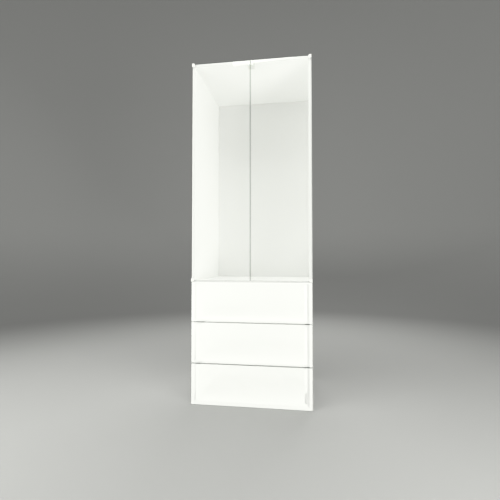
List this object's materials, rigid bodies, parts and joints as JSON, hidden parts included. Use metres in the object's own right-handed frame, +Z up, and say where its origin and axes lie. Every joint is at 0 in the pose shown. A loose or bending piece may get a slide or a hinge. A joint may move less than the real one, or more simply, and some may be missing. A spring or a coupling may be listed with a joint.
{
  "type": "armoire",
  "caption": "Tall plain white armoire: hinged clear glass doors over a deep open compartment, with white opal glass-fronted drawers on runners below.",
  "frame": {"origin": "middle of the footprint, on the floor", "axes": "+Z up; the doors and drawers face -Y; +X is to the right for someone facing the doors"},
  "size_m": [0.7, 0.612, 2],
  "materials": {
    "carcass_board": "white melamine-faced particle board, satin, very fine orange peel, matching edge band",
    "back_board": "off-white painted hardboard, matt",
    "drawer_board": "bright white melamine-faced board, satin, with edge band",
    "clear_glass": "clear toughened float glass, polished faces, ground and polished edges, faint green in its thickness",
    "opal_glass": "milk-white opal toughened glass that lets a little of the drawer behind it show, polished face, ground and polished edges",
    "white_steel": "white powder-coated steel, fine satin texture",
    "zinc_steel": "bright zinc-plated steel strip with fine rolling lines",
    "white_plastic": "white moulded nylon, satin"
  },
  "bodies": {
    "cabinet": {"left_side_panel": "carcass_board", "right_side_panel": "carcass_board", "top_panel": "carcass_board", "fixed_shelf": "carcass_board", "bottom_panel": "carcass_board", "back_panel": "back_board", "left_top_pivot_plate": "white_steel", "left_bottom_pivot_plate": "white_steel", "right_top_pivot_plate": "white_steel", "right_bottom_pivot_plate": "white_steel", "door_latch_housing": "white_plastic", "bottom_left_cabinet_rail": "zinc_steel", "bottom_right_cabinet_rail": "zinc_steel", "middle_left_cabinet_rail": "zinc_steel", "middle_right_cabinet_rail": "zinc_steel", "top_left_cabinet_rail": "zinc_steel", "top_right_cabinet_rail": "zinc_steel"},
    "left_door": {"left_door_glass": "clear_glass", "left_door_top_shoe": "white_steel", "left_door_bottom_shoe": "white_steel", "left_strike_plate": "white_steel"},
    "right_door": {"right_door_glass": "clear_glass", "right_door_top_shoe": "white_steel", "right_door_bottom_shoe": "white_steel", "right_strike_plate": "white_steel"},
    "left_plunger": {"left_latch_plunger": "white_plastic"},
    "right_plunger": {"right_latch_plunger": "white_plastic"},
    "bottom_drawer": {"bottom_drawer_glass_front": "opal_glass", "bottom_drawer_bottom": "drawer_board", "bottom_drawer_left_side": "drawer_board", "bottom_drawer_right_side": "drawer_board", "bottom_drawer_back": "drawer_board", "bottom_drawer_left_bracket": "white_steel", "bottom_drawer_right_bracket": "white_steel", "bottom_left_drawer_rail": "zinc_steel", "bottom_right_drawer_rail": "zinc_steel"},
    "bottom_middle_rails": {"bottom_left_middle_rail": "zinc_steel", "bottom_right_middle_rail": "zinc_steel"},
    "middle_drawer": {"middle_drawer_glass_front": "opal_glass", "middle_drawer_bottom": "drawer_board", "middle_drawer_left_side": "drawer_board", "middle_drawer_right_side": "drawer_board", "middle_drawer_back": "drawer_board", "middle_drawer_left_bracket": "white_steel", "middle_drawer_right_bracket": "white_steel", "middle_left_drawer_rail": "zinc_steel", "middle_right_drawer_rail": "zinc_steel"},
    "middle_middle_rails": {"middle_left_middle_rail": "zinc_steel", "middle_right_middle_rail": "zinc_steel"},
    "top_drawer": {"top_drawer_glass_front": "opal_glass", "top_drawer_bottom": "drawer_board", "top_drawer_left_side": "drawer_board", "top_drawer_right_side": "drawer_board", "top_drawer_back": "drawer_board", "top_drawer_left_bracket": "white_steel", "top_drawer_right_bracket": "white_steel", "top_left_drawer_rail": "zinc_steel", "top_right_drawer_rail": "zinc_steel"},
    "top_middle_rails": {"top_left_middle_rail": "zinc_steel", "top_right_middle_rail": "zinc_steel"}
  },
  "joints": [
    {"name": "left_door_hinge", "type": "hinge", "parent": "cabinet", "child": "left_door", "pos_m": [-0.345, -0.301, 1.353], "axis": [0, 0, -1], "range_deg": [0, 110]},
    {"name": "right_door_hinge", "type": "hinge", "parent": "cabinet", "child": "right_door", "pos_m": [0.345, -0.301, 1.353], "axis": [0, 0, 1], "range_deg": [0, 110]},
    {"name": "left_plunger_push", "type": "slide", "parent": "cabinet", "child": "left_plunger", "axis": [0, 1, 0], "range_m": [0, 0.003], "stiffness_N_per_m": 400, "springref_m": -0.005},
    {"name": "right_plunger_push", "type": "slide", "parent": "cabinet", "child": "right_plunger", "axis": [0, 1, 0], "range_m": [0, 0.003], "stiffness_N_per_m": 400, "springref_m": -0.005},
    {"name": "bottom_drawer_slide", "type": "slide", "parent": "cabinet", "child": "bottom_drawer", "axis": [0, -1, 0], "range_m": [-0.002, 0.45]},
    {"name": "bottom_middle_rail_slide", "type": "slide", "parent": "cabinet", "child": "bottom_middle_rails", "axis": [0, -1, 0], "range_m": [-0.001, 0.225]},
    {"name": "middle_drawer_slide", "type": "slide", "parent": "cabinet", "child": "middle_drawer", "axis": [0, -1, 0], "range_m": [-0.002, 0.45]},
    {"name": "middle_middle_rail_slide", "type": "slide", "parent": "cabinet", "child": "middle_middle_rails", "axis": [0, -1, 0], "range_m": [-0.001, 0.225]},
    {"name": "top_drawer_slide", "type": "slide", "parent": "cabinet", "child": "top_drawer", "axis": [0, -1, 0], "range_m": [-0.002, 0.45]},
    {"name": "top_middle_rail_slide", "type": "slide", "parent": "cabinet", "child": "top_middle_rails", "axis": [0, -1, 0], "range_m": [-0.001, 0.225]}
  ],
  "couplings": [
    {"joint": "bottom_middle_rail_slide", "follows": "bottom_drawer_slide", "ratio": 0.5},
    {"joint": "middle_middle_rail_slide", "follows": "middle_drawer_slide", "ratio": 0.5},
    {"joint": "top_middle_rail_slide", "follows": "top_drawer_slide", "ratio": 0.5}
  ]
}
